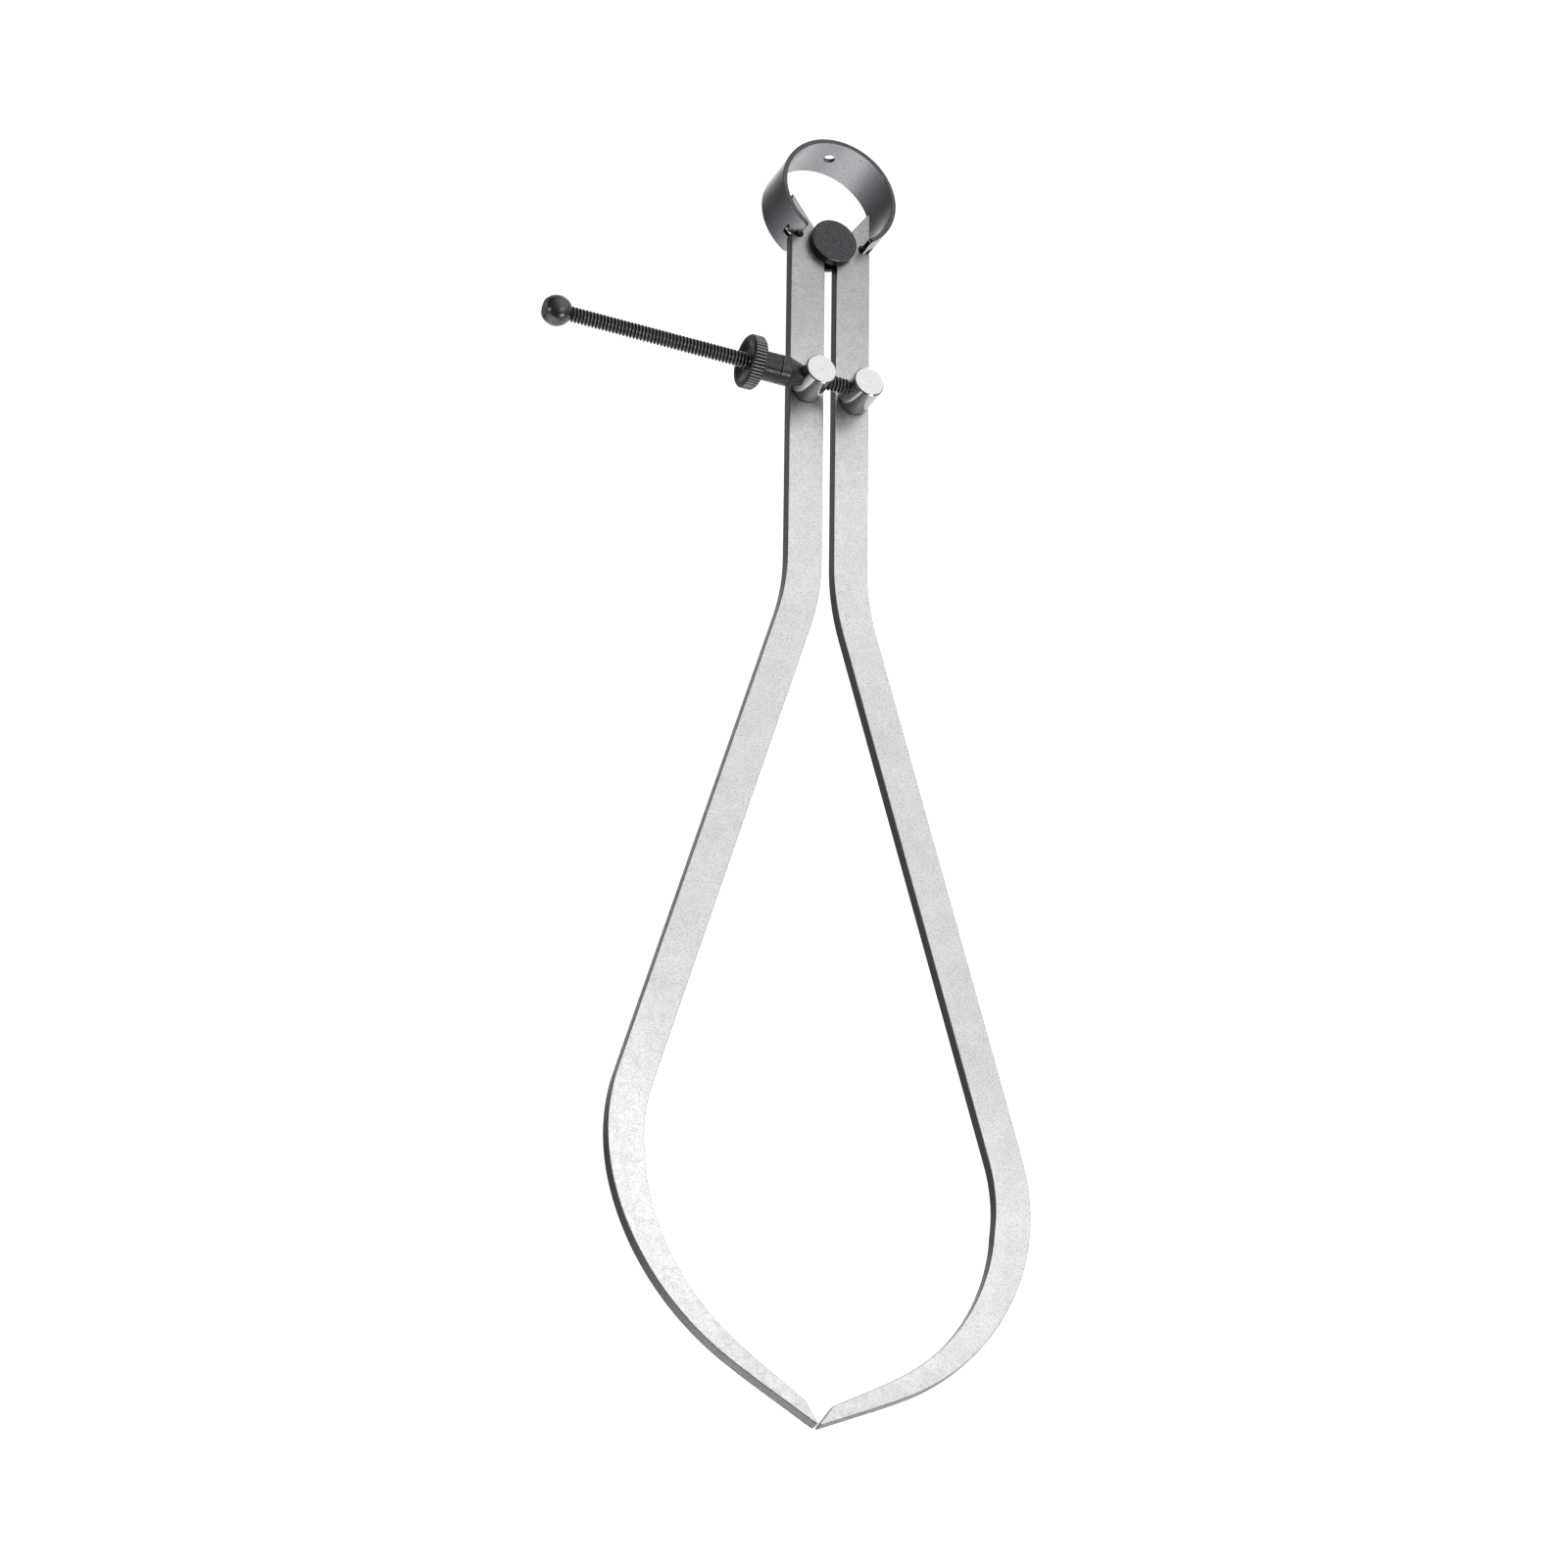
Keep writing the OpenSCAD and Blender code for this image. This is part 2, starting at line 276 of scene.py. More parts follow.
def black_oxide(name, tone, crest=None):
    """Black oxide finish, a little glossy, with grey specks.

    crest is (root, top, grey): from radius root to radius top on the screw's axis it lightens to that grey,
    partly crest wear and partly painted highlight."""
    material, tree, shader, coords = new_material(name, Metallic=0.9)
    wear_and_painted_light = ramp(tree, noise(tree, coords, 1500, 4, 0.7), [(0.55, tone), (0.8, tone * 3)])
    # painted highlight with some wear: lighter crests towards the outer radius
    if crest:
        root, top, grey = crest
        centred = node(tree, "ShaderNodeMapping", Location=(0, -SCREW_Y, -SCREW_Z), Scale=(0, 1, 1))
        tree.links.new(coords, centred.inputs["Vector"])
        radius = node(tree, "ShaderNodeVectorMath", operation="LENGTH")
        tree.links.new(centred.outputs["Vector"], radius.inputs[0])
        share = node(tree, "ShaderNodeMapRange", From_Min=root, From_Max=top)
        tree.links.new(radius.outputs["Value"], share.inputs["Value"])
        wear_and_painted_light = mix_colour(tree, share.outputs["Result"], wear_and_painted_light, (grey, grey, grey))
    tree.links.new(wear_and_painted_light, shader.inputs["Base Color"])
    tree.links.new(ramp(tree, noise(tree, coords, 700, 3), [(0.3, 0.24), (0.7, 0.36)]),
                   shader.inputs["Roughness"])
    tree.links.new(bump(tree, noise(tree, coords, 2500, 2), 0.01 * MM, 0.2), shader.inputs["Normal"])
    return material


# ---------------------------------------------------------------- mesh building

CRISP = 38              # degrees: an edge this sharp isn't smoothed


def keep_crisp(work, angle):
    """Marks the edges of a bmesh that are at least that sharp, in degrees."""
    for edge in work.edges:
        edge.smooth = not edge.is_manifold or edge.calc_face_angle() < math.radians(angle)


def make_piece(name, verts, faces, material, body, slot, replaces, crisp=CRISP):
    """A closed mesh that rides on a body and stands for some CAD nodes; a piece with no body rides on
    nothing.
    """
    mesh = bpy.data.meshes.new(name)
    mesh.from_pydata([tuple(v) for v in verts], [], faces)
    work = bmesh.new()
    work.from_mesh(mesh)
    bmesh.ops.remove_doubles(work, verts=work.verts, dist=1e-7)
    bmesh.ops.dissolve_degenerate(work, edges=work.edges, dist=1e-8)
    bmesh.ops.recalc_face_normals(work, faces=work.faces)
    for face in work.faces:
        face.smooth = True
    keep_crisp(work, crisp)
    work.to_mesh(mesh)
    work.free()
    piece = bpy.data.objects.new(name, mesh)
    bpy.context.scene.collection.objects.link(piece)
    mesh.materials.append(material)
    if body:
        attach(piece, body)
    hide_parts(*replaces)
    return piece


def refinish(piece, material, chosen):
    """Gives the chosen faces another material."""
    piece.data.materials.append(material)
    for face in piece.data.polygons:
        if chosen(face):
            face.material_index = len(piece.data.materials) - 1


SUPPORT = 0.06 * MM     # a loop this far from a rounded edge keeps the flat beside it flat


def round_profile(points, steps=4):
    """Rounds the corners of an outline of (z, r, rounding) and returns (z, r) points.

    z and r are in metres. The rounding is a radius in millimetres, and 0 at both ends."""
    rounded = []
    for i, (z, r, rounding) in enumerate(points):
        if rounding == 0:
            rounded.append((z, r))
            continue
        radius = rounding * MM
        corner = Vector((z, r))
        back = (Vector(points[i - 1][:2]) - corner).normalized()
        ahead = (Vector(points[i + 1][:2]) - corner).normalized()
        angle = back.angle(ahead)
        reach = radius / math.tan(angle / 2)
        centre = corner + (back + ahead).normalized() * radius / math.sin(angle / 2)
        first = (corner + back * reach - centre).normalized()
        last = (corner + ahead * reach - centre).normalized()
        rounded.append(tuple(corner + back * (reach + SUPPORT)))
        for k in range(steps + 1):
            rounded.append(tuple(centre + first.slerp(last, k / steps) * radius))
        rounded.append(tuple(corner + ahead * (reach + SUPPORT)))
    return rounded


def lathe(profile, place, segments=96, ridge=None, closed=False):
    """(vertices, faces) of a (z, r) outline turned about +Z, laid in place.

    ridge(r, angle) is how far a point at radius r moves outwards at that angle. A closed outline joins
    its last point to its first, for a ring."""
    verts, faces, rings = [], [], []
    for z, r in profile:
        if r == 0:
            rings.append([len(verts)])
            verts.append(place @ Vector((0, 0, z)))
            continue
        ring = []
        for k in range(segments):
            angle = TAU * k / segments
            out = r + (ridge(r, angle) if ridge else 0)
            ring.append(len(verts))
            verts.append(place @ Vector((out * math.cos(angle), out * math.sin(angle), z)))
        rings.append(ring)
    pairs = list(zip(rings, rings[1:]))
    if closed:
        pairs.append((rings[-1], rings[0]))
    for a, b in pairs:
        for k in range(segments):
            n = (k + 1) % segments
            if len(a) == 1 and len(b) > 1:
                faces.append((a[0], b[k], b[n]))
            elif len(b) == 1 and len(a) > 1:
                faces.append((a[k], b[0], a[n]))
            elif len(a) > 1:
                faces.append((a[k], b[k], b[n], a[n]))
    return verts, faces


# ---------------------------------------------------------------- legs

NEAR = 0.001 * MM       # points closer than this are one point


def plan_loops(cad, height):
    """The outline and holes of a CAD plate's face at that height, as closed loops of 2-D points."""
    work = bmesh.new()
    work.from_mesh(cad.data)
    bmesh.ops.remove_doubles(work, verts=work.verts, dist=NEAR)
    top = dict.fromkeys(f for f in work.faces if all(abs(v.co.z - height) < NEAR for v in f.verts))
    ahead = {}
    for face in top:
        for loop in face.loops:
            if not any(f in top for f in loop.edge.link_faces if f is not face):
                ahead[loop.vert.index] = loop.link_loop_next.vert.index
    places = {v.index: v.co.xy.copy() for v in work.verts}
    work.free()
    loops = []
    while ahead:
        first, following = ahead.popitem()
        loop = [first]
        while following != first:
            loop.append(following)
            following = ahead.pop(following)
        loops.append([places[i] for i in loop])
    return sorted(loops, key=len, reverse=True)


EDGE_R = 0.25 * MM      # rounding of a leg's edges
EDGE_STEPS = 4
SHARPEST = 0.35         # limits how far a sharp corner moves inwards
UNTANGLE_PASSES = 6


def inset(loop, distance):
    """The loop moved towards its left, which is the material's side, by distance."""
    moved = []
    count = len(loop)
    for i, point in enumerate(loop):
        before = (point - loop[i - 1]).normalized()
        after = (loop[(i + 1) % count] - point).normalized()
        normal = Vector((-before.y - after.y, before.x + after.x)).normalized()
        lean = max(SHARPEST, normal.dot(Vector((-after.y, after.x))))
        moved.append(point + normal * distance / lean)
    for _ in range(UNTANGLE_PASSES):
        for i in range(count):
            n = (i + 1) % count
            if (loop[n] - loop[i]).dot(moved[n] - moved[i]) < 0:
                moved[i] = moved[n] = (moved[i] + moved[n]) / 2
    return moved


def rounded_plate(cad):
    """(vertices, faces) of a CAD plate with its edges rounded."""
    low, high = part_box(cad.name)
    loops = plan_loops(cad, high.z)
    levels = [(EDGE_R + SUPPORT, low.z)]
    for k in range(EDGE_STEPS + 1):
        a = math.pi / 2 * k / EDGE_STEPS
        levels.append((EDGE_R * (1 - math.sin(a)), low.z + EDGE_R * (1 - math.cos(a))))
    levels.append((0, low.z + EDGE_R + SUPPORT))
    levels += [(depth, low.z + high.z - z) for depth, z in reversed(levels)]
    verts, faces, rims = [], [], {0: [], len(levels) - 1: []}
    for loop in loops:
        count = len(loop)
        first = len(verts)
        for level, (depth, z) in enumerate(levels):
            points = inset(loop, depth)
            if level in rims:
                rims[level].append((len(verts), [p.to_3d() for p in points]))
            verts += [(p.x, p.y, z) for p in points]
        for level in range(len(levels) - 1):
            row = first + level * count
            for i in range(count):
                n = (i + 1) % count
                faces.append((row + i, row + n, row + count + n, row + count + i))
    for rim in rims.values():
        index = [base + i for base, points in rim for i in range(len(points))]
        for triangle in tessellate_polygon([points for _, points in rim]):
            faces.append(tuple(index[i] for i in triangle))
    return verts, faces


# ---------------------------------------------------------------- bow spring

STRIP_T = 1.0 * MM
BOW_END = 34.5          # degrees from straight down to the strip's end
WINDOW = (40, 49.3)     # degrees from straight down to the window's two ends
WINDOW_HALF = 1.5 * MM  # half the window's size across the strip
WINDOW_CORNER = 0.4 * MM
HOLE_R = 1.3 * MM       # the hanging hole
RIM_R = 0.13 * MM       # rounding of the strip's rims
CORNER_R = 0.9 * MM     # rounding of the strip's four corners


def rounded_off(radius, inside):
    """How far a corner of that radius stands back at a distance inside it."""
    return radius - math.sqrt(max(0, radius**2 - max(0, radius - inside)**2))


def spread(first, last, step):
    """Stations from first up to but without last, about step apart."""
    count = math.ceil((last - first) / step)
    return [first + (last - first) * k / count for k in range(count)]


def eased(first, last, count):
    """Stations from first up to but without last, close together at first's end."""
    return [first + (last - first) * (1 - math.cos(math.pi / 2 * k / count)) for k in range(count)]


def bow_half(side):
    """(vertices, faces) of half the bow spring, on the side of sign side."""
    radius = bow.size.x / 2
    middle = radius - STRIP_T / 2
    centre_y = bow.high.y - radius
    half_w = bow.size.z / 2
    hole_start = 180 - math.degrees(HOLE_R / middle)

    def length(degrees):
        return middle * math.radians(degrees)

    def gap(angle):
        """Half the opening across the strip at an angle, or None where it is solid."""
        if WINDOW[0] <= angle <= WINDOW[1]:
            inside = length(min(angle - WINDOW[0], WINDOW[1] - angle))
            return WINDOW_HALF - rounded_off(WINDOW_CORNER, inside)
        if angle >= hole_start:
            return math.sqrt(max(0, HOLE_R**2 - length(180 - angle)**2))
        return None

    corner = math.degrees(CORNER_R / middle)
    small = math.degrees(WINDOW_CORNER / middle)
    stations = (eased(BOW_END, BOW_END + corner, 6) + spread(BOW_END + corner, WINDOW[0], 1.5)
                + eased(WINDOW[0], WINDOW[0] + small, 4)
                + spread(WINDOW[0] + small, WINDOW[1] - small, 1.5)
                + [2 * WINDOW[1] - a for a in reversed(eased(WINDOW[1], WINDOW[1] + small, 4))]
                + spread(WINDOW[1] + 0.3, hole_start, 2) + eased(hole_start, 180, 12) + [180])
    arc = [math.radians(a) for a in range(0, 91, 30)]
    verts, rows = [], []
    for angle in stations:
        opening = gap(angle)
        inner = WINDOW_HALF if opening is None else opening
        edge = half_w - rounded_off(CORNER_R, length(angle - BOW_END)) - RIM_R
        chain = [(radius, z) for z in (inner, (inner + edge) / 2, edge - SUPPORT)]
        chain += [(radius - RIM_R * (1 - math.cos(a)), edge + RIM_R * math.sin(a)) for a in arc]
        chain += [(2 * radius - STRIP_T - r, z) for r, z in reversed(chain)]
        row = []
        for sign in (1, -1):
            row.append([len(verts) + i for i in range(len(chain))])
            turn = math.radians(angle)
            verts += [(side * r * math.sin(turn), centre_y - r * math.cos(turn), bow.mid.z + sign * z)
                      for r, z in chain]
        rows.append(row)
    faces = []
    for row, there, angle, beyond in zip(rows, rows[1:], stations, stations[1:]):
        for a, b in zip(row, there):
            faces += [(a[i], a[i + 1], b[i + 1], b[i]) for i in range(len(a) - 1)]
        if gap((angle + beyond) / 2) is None:
            faces += [(row[0][i], row[1][i], there[1][i], there[0][i]) for i in (0, -1)]
        else:
            faces += [(a[0], a[-1], b[-1], b[0]) for a, b in zip(row, there)]
    for row, angle in zip(rows, stations):
        if angle in WINDOW:
            faces.append((row[0][0], row[0][-1], row[1][-1], row[1][0]))
    faces.append(tuple(rows[0][0] + rows[0][1][::-1]))
    faces += [tuple(chain) for chain in rows[-1]]
    return verts, faces


# ---------------------------------------------------------------- screw

THREAD_PITCH = 0.794 * MM
THREAD_DEPTH = 0.47 * MM
THREAD_SEGMENTS = 32    # sections in one turn


def helix(start, turns, outer):
    """(vertices, faces) of a threaded rod from start along +Z, laid on the screw's axis.

    A section is the tooth's points at one angle. It ends at the first point of the section one turn
    later, and past the last turn plain points on the root stand in for that one."""
    root, shoulder = outer - THREAD_DEPTH, outer - 0.02 * MM
    tooth = [(0, root), (0.06, root), (0.42, shoulder), (0.46, outer), (0.54, outer),
             (0.58, shoulder), (0.94, root)]
    width = len(tooth)
    count = THREAD_SEGMENTS * turns + 1

    def place(k, share, r):
        """Where the point at that share of a pitch lies on section k."""
        angle = TAU * k / THREAD_SEGMENTS
        z = start + THREAD_PITCH * (k / THREAD_SEGMENTS + share)
        return ON_SCREW @ Vector((r * math.cos(angle), r * math.sin(angle), z))

    def index(k, i):
        """The vertex that is point i of section k."""
        if i < width:
            return k * width + i
        later = k + THREAD_SEGMENTS
        return later * width if later < count else count * width + later - count

    verts = [place(k, share, r) for k in range(count) for share, r in tooth]
    verts += [place(k, 0, root) for k in range(count, count + THREAD_SEGMENTS)]
    faces = [(index(k, i), index(k + 1, i), index(k + 1, i + 1), index(k, i + 1))
             for k in range(count - 1) for i in range(width)]
    low, high = len(verts), len(verts) + 1
    verts += [ON_SCREW @ Vector((0, 0, z)) for z in (start, start + THREAD_PITCH * (turns + 1))]
    last = count - 1
    for k in range(THREAD_SEGMENTS):
        faces.append((low, index(k + 1, 0), index(k, 0)))
        before = last - THREAD_SEGMENTS + k
        faces.append((high, index(before, width), index(before + 1, width)))
    for i in range(width):
        faces.append((low, index(0, i), index(0, i + 1)))
        faces.append((high, index(last, i + 1), index(last, i)))
    return verts, faces


# ---------------------------------------------------------------- all the pieces

def build_legs(steel):
    """Two bars whose side faces get a darker copy of their finish, as painted shade."""
    # painted shade: the side faces take the legs' finish at about a third of its tone
    edge = leg_steel("leg_steel_edge", 0.32)
    for name in ("left_leg", "right_leg"):
        verts, faces = rounded_plate(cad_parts[name])
        bar = make_piece(name + "_bar", verts, faces, steel, name, "leg_steel", [name])
        refinish(bar, edge, lambda face: abs(face.normal.z) < 0.75)


def build_bow():
    """Two halves of the spring, one on each side of the fulcrum."""
    strip = spring_steel("spring_steel", 0.24, 0.33)
    # painted shade: the rims, the ends and the walls of the window and the hole get a much darker copy of
    # the strip steel
    cut_faces_painted_shade = spring_steel("spring_steel_edge", 0.07, 0.11)
    centre = Vector((0, bow.high.y - bow.size.x / 2, 0))

    def cut_face(face):
        """True on a rim, on an end, and on the walls of the windows and of the hanging hole."""
        outward = (face.center - centre).to_2d().to_3d().normalized()
        return abs(face.normal.dot(outward)) < 0.9

    for side, name in ((-1, "left"), (1, "right")):
        piece = make_piece(f"bow_spring_{name}_half", *bow_half(side), strip, None, "spring_steel",
                           ["bow_spring"])
        refinish(piece, cut_faces_painted_shade, cut_face)
        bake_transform(piece)


FULCRUM_PIN_R = 1.5 * MM
DISC_MARK_R, DISC_MARK_DEPTH = 0.4 * MM, 0.2 * MM


def build_fulcrum():
    """The front disc on its pin, the roller between the legs, and the rear disc."""
    # painted light and shade: the disc's side keeps a near-black copy of the steel, its top a charcoal copy,
    # and its rounded rim a light copy, a painted highlight with some edge wear
    black = blackened_steel("blackened_steel_side", 0.022)
    charcoal = blackened_steel("blackened_steel", 0.07)
    wear_and_painted_light = blackened_steel("blackened_steel_rim_wear_and_highlight", 0.3)
    place = upright(0, 0)
    pin, radius, top, foot = FULCRUM_PIN_R, stud.high.x, stud.high.z, LEG_FACE + PLAY
    front = round_profile([
        (0, 0, 0), (0, pin, 0.1), (foot, pin, 0), (foot, radius, 0.12),
        (top, radius, 0.25), (top, DISC_MARK_R, 0.08), (top - DISC_MARK_DEPTH, 0, 0)])
    disc = make_piece("fulcrum_disc", *lathe(front, place, 128), black, "fulcrum", "blackened_steel",
                      ["fulcrum_stud"])
    refinish(disc, charcoal, lambda face: face.normal.z > 0.8)
    refinish(disc, wear_and_painted_light, lambda face: 0.3 < face.normal.z < 0.8)
    rear = round_profile([
        (rear_flange.high.z, pin, 0), (rear_flange.high.z, rear_flange.high.x, 0.1),
        (rear_flange.low.z, rear_flange.high.x, 0.2), (rear_flange.low.z, pin, 0)])
    make_piece("rear_disc", *lathe(rear, place, 96, closed=True), black, "fulcrum", "blackened_steel",
               ["fulcrum_rear_flange"])
    ring = round_profile([
        (roller.high.z, pin, 0), (roller.high.z, roller.high.x, 0.1),
        (roller.low.z, roller.high.x, 0.1), (roller.low.z, pin, 0)])
    make_piece("roller_ring", *lathe(ring, place, 64, closed=True), black, "fulcrum", "blackened_steel",
               ["fulcrum_roller"])


NOSE_TIP_R = 2.15 * MM
NOSE_CONE_X = 12 * MM       # where the nose's cone meets its straight part, along the screw
NOSE_R = nose.size.y / 2
POST_STEM_R = 2.2 * MM
POST_RIVET_R = 2.6 * MM
POST_CHAMFER = 0.25 * MM
POST_MARK_R, POST_MARK_DEPTH = 0.35 * MM, 0.15 * MM


def cutter(profile):
    """A loose solid turned about the screw's axis, to cut with."""
    verts, faces = lathe(profile, ON_SCREW, 64)
    mesh = bpy.data.meshes.new("cutter")
    mesh.from_pydata([tuple(v) for v in verts], [], faces)
    work = bmesh.new()
    work.from_mesh(mesh)
    bmesh.ops.recalc_face_normals(work, faces=work.faces)
    work.to_mesh(mesh)
    work.free()
    made = bpy.data.objects.new("cutter", mesh)
    bpy.context.scene.collection.objects.link(made)
    return made


def cut(piece, profiles):
    """Takes solids turned about the screw's axis out of a piece."""
    tools = [cutter(profile) for profile in profiles]
    for tool in tools:
        boolean = piece.modifiers.new("cut", "BOOLEAN")
        boolean.operation, boolean.solver, boolean.object = "DIFFERENCE", "EXACT", tool
    bpy.context.view_layer.update()
    graph = bpy.context.evaluated_depsgraph_get()
    mesh = bpy.data.meshes.new_from_object(piece.evaluated_get(graph))
    piece.modifiers.clear()
    piece.data = mesh
    for tool in tools:
        bpy.data.objects.remove(tool)
    work = bmesh.new()
    work.from_mesh(mesh)
    keep_crisp(work, CRISP)
    work.to_mesh(mesh)
    work.free()


def build_posts(steel):
    """The two posts with their washers, and the pin that locks the screw in its post."""
    post_r, washer_r, pin_r = nut_post.size.x / 2, washer.size.x / 2, lock_pin.size.x / 2
    back, top, foot = nut_post.low.z, nut_post.high.z, LEG_FACE + PLAY
    pin_hole = [(lock_pin.high.z, 0, 0), (lock_pin.high.z, pin_r, 0), (back, pin_r, 0)]
    for name, span, rear in (("nut_post", nut_post, [(back, 0, 0)]), ("screw_post", screw_post, pin_hole)):
        x, y = span.mid.x, span.mid.y
        # painted light: each post's end face gets a lighter copy of its steel than its side
        side = polished_steel(name + "_steel", (x, y), 0.48)
        end = polished_steel(name + "_end_steel", (x, y), 0.74)
        outline = round_profile(rear + [
            (back, POST_RIVET_R, 0.16), (washer.low.z, POST_RIVET_R, 0), (washer.low.z, POST_STEM_R, 0),
            (foot, POST_STEM_R, 0), (foot, post_r, 0.35), (top - POST_CHAMFER, post_r, 0.05),
            (top, post_r - POST_CHAMFER, 0.05), (top, POST_MARK_R, 0.08), (top - POST_MARK_DEPTH, 0, 0)])
        post = make_piece(name + "_turned", *lathe(outline, upright(x, y), 96), side, name,
                          "polished_steel", [name])
        if span is nut_post:
            seat, seat_cone, seat_end = -nose.high.x - PLAY, NOSE_CONE_X - PLAY, NOSE_CONE_X + 1.25 * MM
            cut(post, [
                [(0, 0), (0, BORE_R), (NOSE_CONE_X, BORE_R), (NOSE_CONE_X, 0)],
                [(seat, 0), (seat, NOSE_TIP_R + PLAY), (seat_cone, NOSE_R + PLAY),
                 (seat_end, NOSE_R + PLAY), (seat_end, 0)]])
        refinish(post, end, lambda face: face.normal.z > 0.8)
        ring = round_profile([
            (washer.high.z, POST_STEM_R, 0), (washer.high.z, washer_r, 0.1),
            (washer.low.z, washer_r, 0.2), (washer.low.z, POST_STEM_R, 0)])
        make_piece(name + "_washer_ring", *lathe(ring, upright(x, y), 64, closed=True), steel, name,
                   "leg_steel", [name + "_washer"])
    pin = round_profile([
        (lock_pin.low.z, 0, 0), (lock_pin.low.z, pin_r, 0.06),
        (lock_pin.high.z, pin_r, 0.06), (lock_pin.high.z, 0, 0)])
    make_piece("lock_pin_turned", *lathe(pin, upright(lock_pin.mid.x, lock_pin.mid.y), 32), steel,
               "screw_post", "leg_steel", ["screw_lock_pin"])


def build_screw():
    """The threaded rod and the ball on its end."""
    # the thread's crests are lighter: painted highlight with some wear
    wear_and_painted_light = black_oxide("black_oxide_thread", 0.05, (THREAD_R - THREAD_DEPTH * 0.3, THREAD_R, 0.25))
    start, end = -screw.high.x, -screw.low.x
    turns = int((end - start) / THREAD_PITCH) - 2       # the rod's last turns would be inside the ball
    make_piece("screw_thread", *helix(start, turns, THREAD_R), wear_and_painted_light, "screw_post", "black_oxide",
               ["adjusting_screw"], crisp=40)
    black = black_oxide("black_oxide", 0.09)
    radius = ball.size.y / 2
    near, far = -ball.high.x, -ball.low.x
    centre = near + radius
    mouth_a = math.acos(-math.sqrt(radius**2 - THREAD_R**2) / radius)
    flat_r = math.sqrt(radius**2 - (far - centre)**2)
    flat_a = math.atan2(flat_r, far - centre)
    steps = 36
    arc = [mouth_a + (flat_a - mouth_a) * k / steps for k in range(steps + 1)]
    outline = [(centre + radius * math.cos(mouth_a), 0)]
    outline += [(centre + radius * math.cos(a), radius * math.sin(a)) for a in arc]
    outline += [(far, flat_r - SUPPORT), (far, 0)]
    make_piece("ball_end", *lathe(outline, ON_SCREW, 96), black, "screw_post", "black_oxide",
               ["screw_ball"])


RIDGES = 48             # ridges of the knurl
RIDGE_H = 0.4 * MM
DISC_T = 3.2 * MM
DISC_CHAMFER = 0.45 * MM
DISH_R, DISH_DEPTH, DISH_LAND = 4.6 * MM, 0.7 * MM, 0.8 * MM
SEAM_H, SEAM_DEPTH = 0.14 * MM, 0.12 * MM   # chamfer at the seam between the hub and the nose


def build_nut():
    """The knurled nut with its dished face, and the cone that presses on the post."""
    radius = nut.size.y / 2
    # the knurl's ridges are lighter: painted highlight with some wear
    wear_and_painted_light = black_oxide("black_oxide_knurl", 0.05, (radius - 0.25 * MM, radius, 0.2))
    seam, far = -nut.high.x, -nut.low.x
    near = far - DISC_T
    outline = round_profile([
        (seam, BORE_R, 0), (seam, NOSE_R - SEAM_DEPTH, 0.05), (seam + SEAM_H, NOSE_R, 0.05),
        (near - 0.25 * MM, NOSE_R, 0.2), (near, NOSE_R + 0.3 * MM, 0.1),
        (near, radius - DISC_CHAMFER, 0.12), (near + DISC_CHAMFER, radius, 0.08),
        (far - DISC_CHAMFER, radius, 0.08), (far, radius - DISC_CHAMFER, 0.12),
        (far, DISH_R, 0.15), (far - DISH_DEPTH, BORE_R + DISH_LAND, 0.15),
        (far - DISH_DEPTH, BORE_R, 0)], steps=3)

    def ridge(r, angle):
        """Grooves between the ridges, which fade out down the chamfers."""
        share = min(1, max(0, (r - (radius - DISC_CHAMFER)) / (DISC_CHAMFER * 0.6)))
        return -RIDGE_H * share * (1 - abs(math.sin(angle * RIDGES / 2)))

    make_piece("thumb_nut_knurled", *lathe(outline, ON_SCREW, RIDGES * 8, ridge, closed=True), wear_and_painted_light,
               "thumb_nut", "black_oxide", ["thumb_nut"], crisp=60)
    black = black_oxide("black_oxide_nose", 0.06)
    tip = -nose.high.x
    cone = round_profile([
        (tip, BORE_R, 0), (tip, NOSE_TIP_R, 0.1), (NOSE_CONE_X, NOSE_R, 0.3),
        (seam - SEAM_H, NOSE_R, 0.05), (seam, NOSE_R - SEAM_DEPTH, 0.05), (seam, BORE_R, 0)])
    make_piece("nut_nose_cone", *lathe(cone, ON_SCREW, 96, closed=True), black, "thumb_nut",
               "black_oxide", ["nut_nose"])


# ---------------------------------------------------------------- camera, floor and light

CAMERA_AZIMUTH, CAMERA_ELEVATION, CAMERA_ROLL = -34.38, 51.6, 41.88     # degrees
CAMERA_DISTANCE = 1.4805
CAMERA_LENS, CAMERA_SENSOR = 164.33, 36     # millimetres
AIM = Vector((-8.86 * MM, -137.7 * MM, left_leg.mid.z))


def build_camera():
    """A long lens from above the front left, rolled so that the caliper stands upright in the picture."""
    data = bpy.data.cameras.new("camera")
    data.lens, data.sensor_width = CAMERA_LENS, CAMERA_SENSOR
    camera = bpy.data.objects.new("camera", data)
    bpy.context.scene.collection.objects.link(camera)
    azimuth, elevation = math.radians(CAMERA_AZIMUTH), math.radians(CAMERA_ELEVATION)
    level = Vector((math.sin(azimuth), -math.cos(azimuth), 0))
    back = level * math.cos(elevation) + Vector((0, 0, math.sin(elevation)))
    roll = Matrix.Rotation(math.radians(CAMERA_ROLL), 3, "Z")
    facing = (-back).to_track_quat("-Z", "Y").to_matrix() @ roll
    camera.matrix_world = Matrix.Translation(AIM + back * CAMERA_DISTANCE) @ facing.to_4x4()
    bpy.context.scene.camera = camera


FLOOR_HALF = 4


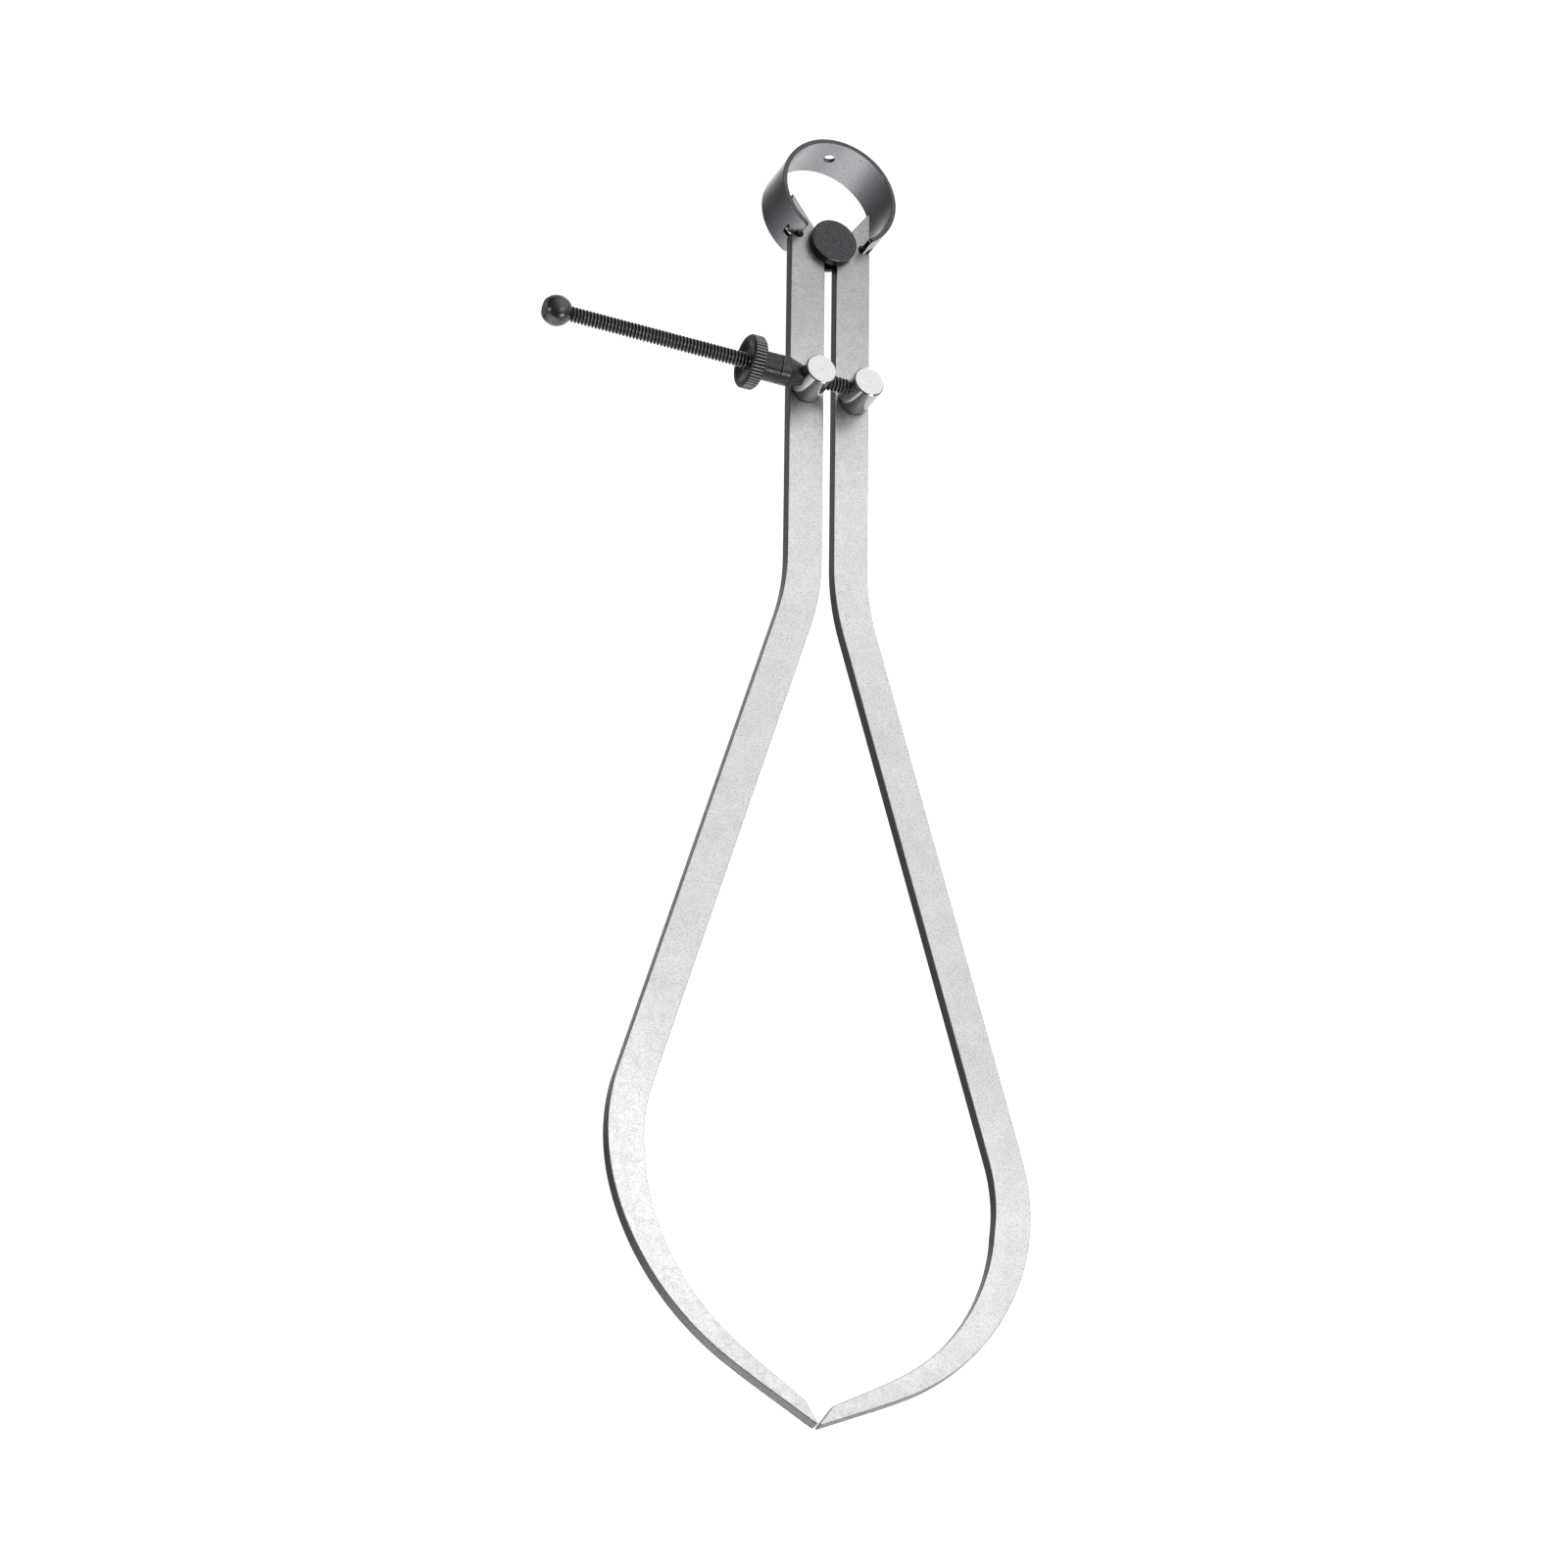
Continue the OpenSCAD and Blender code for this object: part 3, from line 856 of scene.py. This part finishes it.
def build_floor():
    """A white floor that glows a little, so that it stays even, and that the metal doesn't mirror."""
    z = cad_box[0].z
    corners = [(x * FLOOR_HALF, y * FLOOR_HALF, z) for x, y in ((-1, -1), (1, -1), (1, 1), (-1, 1))]
    mesh = bpy.data.meshes.new("floor")
    mesh.from_pydata(corners, [], [(0, 1, 2, 3)])
    floor = bpy.data.objects.new("floor", mesh)
    bpy.context.scene.collection.objects.link(floor)
    material = bpy.data.materials.new("floor")
    material.use_nodes = True
    shader = material.node_tree.nodes["Principled BSDF"]
    shader.inputs["Base Color"].default_value = (0.9, 0.9, 0.9, 1)
    shader.inputs["Roughness"].default_value = 1
    shader.inputs["Specular IOR Level"].default_value = 0
    shader.inputs["Emission Color"].default_value = (1, 1, 1, 1)
    shader.inputs["Emission Strength"].default_value = 0.8
    mesh.materials.append(material)
    floor.visible_glossy = False
    floor.visible_diffuse = False


def softbox(name, place, target, width, height, watts):
    """A rectangular light at place that faces target."""
    data = bpy.data.lights.new(name, "AREA")
    data.shape, data.size, data.size_y, data.energy = "RECTANGLE", width, height, watts
    light = bpy.data.objects.new(name, data)
    light.location = place
    light.rotation_mode = "QUATERNION"
    light.rotation_quaternion = (Vector(target) - Vector(place)).to_track_quat("-Z", "Y")
    bpy.context.scene.collection.objects.link(light)


KEY_SIDE = (0.35, 0.51, 0.78)       # the flat faces mirror this part of the room
# Brightness of the room's upper half by how far a direction points to the key side
ROOM_ABOVE = [(0.0, 0.08), (0.5, 0.20), (0.78, 0.85), (1.0, 1.22)]
# Brightness of the room's lower half by compass direction: degrees from +Y towards +X
ROOM_BELOW = [(-180, 1.6), (-150, 1.6), (-115, 0.6), (-90, 0.30), (-65, 0.15), (-40, 0.17), (-18, 0.5),
              (5, 1.3), (25, 2.2), (55, 0.9), (85, 1.35), (145, 1.15), (180, 1.6)]
HORIZON = 0.15          # the halves fade into each other this far above and below level


def build_world():
    """A soft room: its upper half lights the flat faces, its lower half the upright edges and walls."""
    world = bpy.data.worlds.new("world")
    world.use_nodes = True
    tree = world.node_tree
    direction = tree.nodes.new("ShaderNodeTexCoord").outputs["Generated"]

    def towards(axis):
        """How far a direction points along an axis."""
        made = node(tree, "ShaderNodeVectorMath", operation="DOT_PRODUCT")
        tree.links.new(direction, made.inputs[0])
        made.inputs[1].default_value = axis
        return made.outputs["Value"]

    above = ramp(tree, towards(KEY_SIDE), ROOM_ABOVE)
    compass = node(tree, "ShaderNodeMath", operation="ARCTAN2")
    tree.links.new(towards((1, 0, 0)), compass.inputs[0])
    tree.links.new(towards((0, 1, 0)), compass.inputs[1])
    turn = node(tree, "ShaderNodeMapRange", From_Min=-math.pi, From_Max=math.pi)
    tree.links.new(compass.outputs["Value"], turn.inputs["Value"])
    below = ramp(tree, turn.outputs["Result"], [(0.5 + angle / 360, grey) for angle, grey in ROOM_BELOW])
    height = node(tree, "ShaderNodeMapRange", From_Min=-HORIZON, From_Max=HORIZON)
    tree.links.new(towards((0, 0, 1)), height.inputs["Value"])
    tree.links.new(mix_colour(tree, height.outputs["Result"], below, above),
                   tree.nodes["Background"].inputs["Color"])
    bpy.context.scene.world = world


leg_finish = leg_steel("leg_steel", 0.92)
build_legs(leg_finish)
build_bow()
build_fulcrum()
build_posts(leg_finish)
build_screw()
build_nut()

build_camera()
build_floor()
build_world()
softbox("key", (0.06, -0.18, 0.36), (-0.07, -0.31, 0.0), 0.22, 0.26, 0.23)
softbox("left", (-1.2, -0.36, 0.26), (0, 0, 0), 0.16, 0.16, 1.6)
softbox("low", (0.5, -0.87, 0.47), (0, 0, 0), 0.5, 0.16, 2.5)
bpy.context.scene.view_settings.view_transform = "Standard"
